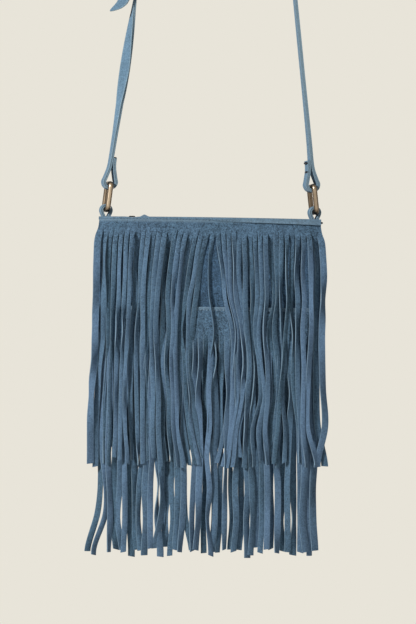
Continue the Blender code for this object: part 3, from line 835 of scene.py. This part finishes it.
def top_binding():
    shape = flat_sheet(POUCH_WIDTH, 1.0, 110, 15)
    cut_edge = shape.verts.layers.float["cut_edge"]
    for vert in shape.verts:
        x, share = vert.co.xy
        top = FOLD_TOP - FOLD_RADIUS - SUEDE / 2 + TOP_BOW * math.cos(math.pi * x / POUCH_WIDTH)
        top -= DIP * math.exp(-((x - DIP_X) / DIP_REACH) ** 2)
        forwards, rise = folded_over(share, binding_height(x) + top)
        rightwards = ease((x + 0.03) / 0.09)
        proud = ease(2 * share - 1) * between(-SUEDE, 0.0005, 0, 1, rightwards) + 0.00012 * math.sin(190 * x)
        vert[cut_edge] = 0.42 + 0.20 * rightwards if share < 0.45 else 0.10 + 0.62 * rightwards
        vert.co = bag_point(x, -(front_of_pouch(x, 0) + FOLD_RADIUS + forwards + proud), top + rise)
    bmesh.ops.recalc_face_normals(shape, faces=shape.faces)
    made = piece("top_binding_suede", shape, worn_suede, "bag", ["top_binding"])
    return thicken(made, SUEDE, rounded=0.0003)


folded_strip = top_binding()

# %% [markdown]
# ## Stitches
# A stitch is a short length of thread that dips into the suede at both ends. A small ball drawn
# out along the seam gives that shape, and a row of them is one piece. One row shows in the
# parting, just under the lower sheet's top edge. The folded strip has its own, and so does the
# pouch's back, where the zip's tape is sewn in.

# %% Rows of stitches
STITCH = 0.0025
STITCH_PITCH = 0.0033
THREAD = 0.0005
LOWER_SEAM = -0.0910
BACK_SEAM = -0.0035
STRIP_SEAM = 0.0012


def add_stitch(shape, place, along, length, girth):
    """One visible length of thread, drawn out along a direction."""
    turn = Vector((1, 0, 0)).rotation_difference(along).to_matrix().to_4x4()
    size = Matrix.Diagonal((length / 2, girth / 2, girth / 2, 1))
    bmesh.ops.create_icosphere(shape, subdivisions=2, radius=1, matrix=Matrix.Translation(place) @ turn @ size)


def seam(name, reach, height_at, depth_at, facing=-1, girth=THREAD):
    """A row of stitches across the bag; the two functions give the surface at x."""
    shape = bmesh.new()
    count = round(2 * reach / STITCH_PITCH)
    for k in range(count + 1):
        x = (k - count / 2) * STITCH_PITCH
        ends = [bag_point(at, facing * depth_at(at), height_at(at)) for at in (x - STITCH / 2, x + STITCH / 2)]
        add_stitch(shape, (ends[0] + ends[1]) / 2, (ends[1] - ends[0]).normalized(), STITCH, girth)
    return piece(name, shape, thread, "bag")


seam("lower_sheet_stitches", 0.100, lambda x: LOWER_SEAM,
     lambda x: front_of_pouch(x, LOWER_SEAM) + LAYER_GAP + SUEDE, girth=0.0009)
seam("binding_stitches", 0.104, lambda x: STRIP_SEAM - binding_height(x),
     lambda x: front_of_pouch(x, 0) + 2 * FOLD_RADIUS + SUEDE / 2 + 0.0002)
seam("back_stitches", 0.100, lambda x: BACK_SEAM, lambda x: front_of_pouch(x, BACK_SEAM) + 0.0001, facing=1)

# %% [markdown]
# ## Ribbons
# The tabs, the straps and the zip's pull are strips of suede bent along a path. A path is a list
# of keys, each a point and the direction that the strip's width has there. A smooth curve joins
# the keys: a Catmull-Rom spline, spaced by the square root of each span so that it never loops.

# %% A smooth path
def on_curve(points, places, at):
    """A point of the smooth span between the second and third of four points."""
    spans = [between(points[i], points[i + 1], places[i], places[i + 1], at) for i in range(3)]
    pairs = [between(spans[i], spans[i + 1], places[i], places[i + 2], at) for i in range(2)]
    return between(pairs[0], pairs[1], places[1], places[2], at)


def smooth_path(keys, step, least=5):
    """Points and sides about one step apart on a smooth curve through the keys."""
    places = [0.0]
    for (a, _), (b, _) in zip(keys, keys[1:]):
        places.append(places[-1] + math.sqrt((b - a).length))
    before = (2 * keys[0][0] - keys[1][0], keys[0][1])
    after = (2 * keys[-1][0] - keys[-2][0], keys[-1][1])
    rail = [before, *keys, after]
    places = [-places[1], *places, 2 * places[-1] - places[-2]]
    path = []
    for i in range(1, len(rail) - 2):
        count = max(least, round((rail[i + 1][0] - rail[i][0]).length / step))
        points = [key[0] for key in rail[i - 1:i + 3]]
        for k in range(count):
            at = places[i] + (places[i + 1] - places[i]) * k / count
            side = rail[i][1].lerp(rail[i + 1][1], k / count)
            path.append((on_curve(points, places[i - 1:i + 3], at), side))
    return path + [keys[-1]]

# %% [markdown]
# The strap is two layers of suede glued back to back, which shows as a fine groove along its
# edges. So a ribbon is a flat sheet, copied once for each layer, and both copies are bent along
# the path at their own distance from it.

# %% A ribbon of one or more layers
def ribbon(path, width, layers, columns=6, taper=0.0):
    """Suede bent along a path; layers are the distances of its plies from the path."""
    rows = len(path) - 1
    length = sum((b[0] - a[0]).length for a, b in zip(path, path[1:]))
    shape = flat_sheet(width, length, columns, rows)
    plies = [shape.verts[:]]
    for _ in layers[1:]:
        copied = bmesh.ops.duplicate(shape, geom=shape.verts[:] + shape.edges[:] + shape.faces[:])
        plies.append([item for item in copied["geom"] if isinstance(item, bmesh.types.BMVert)])
    cut_edge = shape.verts.layers.float["cut_edge"]
    for verts, layer in zip(plies, layers):
        for vert in verts:
            row = round(vert.co.y / length * rows)
            point, side = path[row]
            tangent = (path[min(row + 1, rows)][0] - path[max(row - 1, 0)][0]).normalized()
            across = (side - tangent * side.dot(tangent)).normalized()
            share = vert.co.x / (width / 2)
            left = length * (1 - row / rows)
            narrow = 0.06 + 0.94 * (left / taper) ** 0.75 if left < taper else 1.0
            narrow *= 1 + 0.025 * math.sin(70 * vert.co.y + 3 * share)
            vert[cut_edge] = 1.0 if abs(share) > 0.9 else 0.0
            vert.co = point + across * (vert.co.x * narrow) + tangent.cross(across) * layer + bag_point(0, 0, 0)
    return shape


def doubled(thickness):
    """The distances of two plies that together are this thick."""
    return (thickness / 4, -thickness / 4)

# %% [markdown]
# ## Tabs, links and strap
# The same few sizes place all the hardware. The links are seen nearly edge-on, because the whole
# row of tab, link and strap is turned about the upright. Each strap leans inwards to the rest that
# the bag hangs from.

# %% Where the hardware is
TAB_SPACING = 0.2098
BAR_HEIGHT = 0.0086
LINK_WIRE = 0.0048
LINK_PITCH = 0.0262
HARDWARE_YAW = math.radians(16.5)
STRAP_LEAN = math.radians(6.7)
HARDWARE_AXIS = Vector((math.sin(HARDWARE_YAW), -math.cos(HARDWARE_YAW), 0))


def outwards(side):
    """Away from the bag's middle, in the plane of a tab or a strap's loop."""
    return Vector((math.cos(HARDWARE_YAW), math.sin(HARDWARE_YAW), 0)) * side


def lean(side):
    return Vector((-side * math.sin(STRAP_LEAN), 0, math.cos(STRAP_LEAN)))


def link_foot(side):
    return Vector((side * TAB_SPACING / 2, 0, BAR_HEIGHT))


def link_head(side):
    return link_foot(side) + lean(side) * LINK_PITCH


print("links' upper bars:", [tuple(round(v, 4) for v in link_head(side)) for side in (LEFT, RIGHT)])

# %% [markdown]
# A tab is a strip folded round the link's lower bar, with both legs sewn in the mouth. Its half
# section is written down once and mirrored.

# %% Tabs
TAB_WIDTH = 0.0074
TAB_SUEDE = 0.0030
TAB_HOLE = 0.0034
TAB_LEG = 0.013
SWAY_ROOM = 0.0005
EDGE_ROUND = 0.00045


def tab(name, side, room=0.0):
    radius = TAB_HOLE + TAB_SUEDE / 2
    rise = BAR_HEIGHT + LINK_WIRE / 2 + TOUCH_GAP + room - TAB_HOLE
    ply = TAB_SUEDE / 2 + TOUCH_GAP / 2
    half = [(ply, -TAB_LEG), (ply, -TAB_LEG / 3), (ply + TOUCH_GAP, 0.02 * radius)]
    for degrees in (-25, 0, 30, 60):
        turn = math.radians(degrees)
        half.append((radius * math.cos(turn), rise + radius * math.sin(turn)))
    outline = half + [(0, rise + radius)] + [(-x, z) for x, z in reversed(half)]
    base = Vector((side * TAB_SPACING / 2, 0, 0))
    keys = [(base + outwards(side) * x + UP * z, HARDWARE_AXIS) for x, z in outline]
    shape = ribbon(smooth_path(keys, 0.0012, 3), TAB_WIDTH, doubled(TAB_SUEDE))
    made = piece(name + "_suede", shape, strap_suede, "bag", [name])
    return thicken(made, TAB_SUEDE / 2 - 0.0001, rounded=EDGE_ROUND)


tab("left_tab", LEFT)
tab("right_tab", RIGHT, room=SWAY_ROOM)

# %% [markdown]
# A link is a round rod bent to an oval and closed. A circle of points is pushed along half of the
# straight side, spun round the corner and pushed to the middle of the short side. That quarter is
# mirrored twice, and the link is then laid on its own three directions.

# %% Links
LINK_INNER_WIDTH = 0.0113
LINK_CORNER = 0.0034
LINK_ROD = 0.0052
ROD_SIDES = 28
# A painted highlight: how sharply it follows the front-facing side, and how strong it is on each link and on the rod
# behind.
HIGHLIGHT_SPREAD = 5
HIGHLIGHT_BY_SIDE = {LEFT: 1.0, RIGHT: 0.58}
HIGHLIGHT_BACK = 0.3
TOWARDS_FRONT = Vector((-0.15, -1, 0.1)).normalized()


def push(shape, edges, step):
    """Extrude a ring of edges along a vector, and give the new ring."""
    grown = bmesh.ops.extrude_edge_only(shape, edges=edges)["geom"]
    bmesh.ops.translate(shape, verts=[g for g in grown if isinstance(g, bmesh.types.BMVert)], vec=step)
    return [g for g in grown if isinstance(g, bmesh.types.BMEdge) and len(g.link_faces) == 1]


def quarter_link(shape):
    half_width = (LINK_INNER_WIDTH + LINK_WIRE) / 2
    place = Matrix.Translation((half_width, 0, 0))
    bmesh.ops.create_circle(shape, segments=ROD_SIDES, radius=LINK_ROD / 2, matrix=place)
    ring = shape.edges[:]
    straight = LINK_PITCH / 2 - LINK_CORNER
    for _ in range(4):
        ring = push(shape, ring, (0, 0, straight / 4))
    turned = bmesh.ops.spin(shape, geom=ring, cent=(half_width - LINK_CORNER, 0, straight), axis=(0, -1, 0),
                            angle=math.radians(90), steps=8)["geom_last"]
    ring = [g for g in turned if isinstance(g, bmesh.types.BMEdge)]
    push(shape, ring, (LINK_CORNER - half_width, 0, 0))


def paint_highlight(shape, middle, amount):
    """Paint a highlight on the points of the rod that face the front, less on the rod behind."""
    rubbed = shape.verts.layers.float.new("rubbed")
    shape.normal_update()
    for vert in shape.verts:
        nearness = ease(0.5 - (vert.co.y - middle.y) / LINK_INNER_WIDTH)
        facing = max(0.0, TOWARDS_FRONT.dot(vert.normal)) ** HIGHLIGHT_SPREAD
        vert[rubbed] = amount * facing * between(HIGHLIGHT_BACK, 1, 0, 1, nearness)


def link(name, side):
    shape = bmesh.new()
    quarter_link(shape)
    for axis in ("X", "Z"):
        bmesh.ops.mirror(shape, geom=shape.verts[:] + shape.edges[:] + shape.faces[:], axis=axis, merge_dist=0.00001)
    bmesh.ops.remove_doubles(shape, verts=shape.verts, dist=0.00001)
    bmesh.ops.recalc_face_normals(shape, faces=shape.faces)
    along = lean(side)
    across = (HARDWARE_AXIS - along * HARDWARE_AXIS.dot(along)).normalized()
    turn = Matrix((across, along.cross(across), along)).transposed().to_4x4()
    middle = (link_foot(side) + link_head(side)) / 2 + bag_point(0, 0, 0)
    bmesh.ops.transform(shape, verts=shape.verts, matrix=Matrix.Translation(middle) @ turn)
    paint_highlight(shape, middle, HIGHLIGHT_BY_SIDE[side])
    return piece(name + "_rod", shape, brass, name, [name])


link("left_link", LEFT)
link("right_link", RIGHT)

# %% [markdown]
# Each strap goes round its link's upper bar, and its end is folded back up along the inside. The
# two runs rise to the rest that the bag hangs from, and turn on the way: near the links they are
# seen edge-on, and the left one shows its face halfway up.

# %% The straps' ends and runs
STRAP_WIDTH = 0.0105
STRAP_SUEDE = 0.0032
STRAP_HOLE = 0.0045
FOLD_BACK = 0.0262
HANG_RADIUS = 0.032
STRAP_PLY = STRAP_SUEDE / 2 + TOUCH_GAP / 2
STRAP_BOW = {LEFT: 0.0040, RIGHT: 0.0014}


def loop_point(side, x, z):
    """A point of a strap's end loop: x outwards and z upwards from the link's upper bar."""
    up = lean(side)
    out = outwards(side)
    out = (out - up * out.dot(up)).normalized()
    return link_head(side) + out * x + up * z


def strap_end(side):
    radius = STRAP_HOLE + STRAP_SUEDE / 2
    rise = STRAP_HOLE - LINK_WIRE / 2 - TOUCH_GAP
    arm = [(STRAP_PLY, 0.80 * FOLD_BACK), (1.35 * STRAP_PLY, 0.60 * FOLD_BACK)]
    for degrees in (32, 0, -45):
        turn = math.radians(degrees)
        arm.append((radius * math.cos(turn), rise + radius * math.sin(turn)))
    outline = [(-STRAP_PLY, FOLD_BACK)] + [(-x, z) for x, z in arm] + [(0, rise - radius)] + arm[::-1]
    return [(loop_point(side, x, z), HARDWARE_AXIS) for x, z in outline]


def rolled(degrees):
    """The strap's width direction, turned from edge-on towards face-on."""
    turn = math.radians(degrees)
    return Vector((math.sin(turn), -math.cos(turn), 0))


def hang_centre():
    """Centre of the round rest that the strap lies over."""
    head = link_head(RIGHT)
    reach = head.x * math.cos(STRAP_LEAN) + head.z * math.sin(STRAP_LEAN) + STRAP_PLY
    return Vector((0, 0, (reach - HANG_RADIUS) / math.sin(STRAP_LEAN)))


def run_length():
    """From a link's upper bar to the place where the strap meets the rest."""
    top = hang_centre().z + HANG_RADIUS * math.sin(STRAP_LEAN)
    foot = link_head(RIGHT).z + STRAP_PLY * math.sin(STRAP_LEAN)
    return (top - foot) / math.cos(STRAP_LEAN)


RUN_LENGTH = run_length()


def strap_run(side, distance):
    """A point of the strap's run, which bows a little to the right on its way up."""
    out = Vector((side * math.cos(STRAP_LEAN), 0, math.sin(STRAP_LEAN)))
    bow = Vector((STRAP_BOW[side] * math.sin(math.pi * distance / RUN_LENGTH), 0, 0))
    return link_head(side) + lean(side) * distance + out * STRAP_PLY + bow


print("each run of the strap is", round(RUN_LENGTH, 3), "long")

# %% [markdown]
# Above the photograph's edge the right strap lies over the rest, comes down the other side, takes
# one turn round the left strap and leaves its end loose. That loose end, cut to a point, is the
# leaf shape at the top left of the picture.

# %% The left strap and its knot
KNOT_RISE = 0.203
KNOT_TAIL = 0.030
FRONT = Vector((0, -1, 0))


def strap(name, keys, taper=0.0):
    shape = ribbon(smooth_path(keys, 0.0030), STRAP_WIDTH, doubled(STRAP_SUEDE), taper=taper)
    made = piece(name + "_suede", shape, strap_suede, "strap", [name])
    return thicken(made, STRAP_SUEDE / 2 - 0.0001, rounded=EDGE_ROUND)


keys = strap_end(LEFT)
for share, degrees in ((0.25, 20), (0.40, 32), (0.58, 80), (0.72, 45), (0.86, 14)):
    keys.append((strap_run(LEFT, KNOT_RISE * share), rolled(degrees)))
for distance in (KNOT_RISE - STRAP_WIDTH, KNOT_RISE + STRAP_WIDTH):
    keys.append((strap_run(LEFT, distance), rolled(0)))
keys.append((strap_run(LEFT, KNOT_RISE + KNOT_TAIL) + Vector((-0.25, 0.15, 0)) * KNOT_TAIL, rolled(15)))
strap("short_strap", keys)


def knot_turns():
    """Keys of the right strap's turn round the left one, and of the loose end that leaves it."""
    centre = strap_run(LEFT, KNOT_RISE)
    up = lean(LEFT)
    out = FRONT.cross(up)
    core = math.hypot(STRAP_WIDTH, STRAP_SUEDE) / 2
    radius = core + 3 * TOUCH_GAP + STRAP_SUEDE / 2
    drop = STRAP_WIDTH + 2 * TOUCH_GAP
    turns = []
    for degrees, height, upright in ((-84, 2.4, 0), (-82, 1.45, 0), (-68, 0.92, 1)):
        turn = math.radians(degrees)
        around = out * math.cos(turn) - FRONT * math.sin(turn)
        place = FRONT * math.cos(turn) + out * math.sin(turn)
        turns.append((centre + place * (radius * 1.04) + up * (drop * height), around + up * upright))
    for degrees in range(-35, 386, 30):
        turn = math.radians(degrees)
        height = 0.62 - (degrees + 35) / 360
        place = FRONT * math.cos(turn) + out * math.sin(turn)
        turns.append((centre + place * radius + up * (drop * height), up))
    for sideways_by, height, depth in ((1.15, -1.25, 1.15), (1.7, -2.1, 1.0), (2.9, -2.85, 0.8)):
        place = centre + out * (radius * sideways_by) + up * (drop * height) + FRONT * (radius * depth)
        turns.append((place, up * 0.8 + out * (0.6 - 0.2 * sideways_by)))
    return turns

# %% The right strap
keys = strap_end(RIGHT)
for distance, degrees in ((0.045, 12), (0.110, 8)):
    keys.append((strap_run(RIGHT, distance), rolled(degrees)))
for share, degrees in ((0.40, 6), (0.75, 3), (0.97, 0)):
    keys.append((strap_run(RIGHT, share * RUN_LENGTH), rolled(degrees)))
for k in range(7):
    turn = STRAP_LEAN + (math.pi - 2 * STRAP_LEAN) * k / 6
    keys.append((hang_centre() + Vector((math.cos(turn), 0, math.sin(turn))) * HANG_RADIUS, rolled(0)))
for share in (0.92, 0.62):
    keys.append((strap_run(LEFT, share * RUN_LENGTH), rolled(0)))
strap("long_strap", keys + knot_turns(), taper=0.017)

# %% [markdown]
# The folded-back ends are held by tacks: a few turns of dark thread whose ends stand out of the
# strap's inner side. One more shows at the right end of the folded strip.

# %% Tacks
TACKS = {LEFT: ((0.0024, 0.0262),), RIGHT: ((0.0036, 0.0240), (0.0036, 0.0148))}
TACK_LENGTH = 0.0112
TACK_GIRTH = 0.0028

shape = bmesh.new()
for side, tacks in TACKS.items():
    for inwards, height in tacks:
        place = loop_point(side, -inwards, height) + bag_point(0, 0, 0)
        add_stitch(shape, place, HARDWARE_AXIS, TACK_LENGTH, TACK_GIRTH)
piece("strap_tacks", shape, dark_thread, "strap")
shape = bmesh.new()
end = FRINGE_WIDTH / 2
add_stitch(shape, bag_point(end + 0.0005, -front_of_pouch(end, 0) - 0.0016, -0.0022), Vector((1, 0, 0)), 0.004, 0.0022)
piece("binding_tack", shape, dark_thread, "bag")

# %% [markdown]
# ## The zip
# The zip's solids already have their shapes, so they stay and only get finishes. The pull is one
# more ribbon: a narrow strip folded through the ring, whose bump shows above the top edge.

# %% The zip's finishes and its pull
SLIDER_X = -0.0785
ZIP_DROP = 0.0045
PULL_LENGTH = 0.0095
PULL_WIRE = 0.0013
PULL_RISE = 0.00035
TAG_WIDTH = 0.0042
TAG_SUEDE = 0.0011
TAG_LENGTH = 0.0105
TAG_STEP = 0.001

for node in ("zip_tape_front", "zip_tape_back"):
    for place in nodes[node].material_slots:
        place.material = zip_cloth
for node in ("zip_teeth_front", "zip_teeth_back", "zip_top_stop", "zip_bottom_stop", "zip_slider", "pull_ring"):
    for place in nodes[node].material_slots:
        place.material = gunmetal


def pull_tag():
    bar = Vector((SLIDER_X + PULL_LENGTH, 0, PULL_RISE))
    reach = PULL_WIRE / 2 + TOUCH_GAP + TAG_SUEDE / 2
    ply = TAG_SUEDE / 2 + TOUCH_GAP / 2
    bend = [(4.0, 0.45), (2.2, 1.4), (1.2, 0.75), (0.5, -0.9), (-1, 0), (-0.5, 0.95), (0.5, 1.45), (1.9, 2.2), (4.0, 1.3)]
    outline = [(TAG_LENGTH, -ply)] + [(reach * x, reach * z) for x, z in bend] + [(TAG_LENGTH - TAG_STEP, ply)]
    path = smooth_path([(bar + Vector((x, 0, z)), Vector((0, 1, 0))) for x, z in outline], 0.0010, 3)
    made = piece("pull_tag_suede", ribbon(path, TAG_WIDTH, (0.0,)), suede, "zip_pull", ["pull_tag"])
    return thicken(made, TAG_SUEDE, rounded=0.0003)


pull_tag()
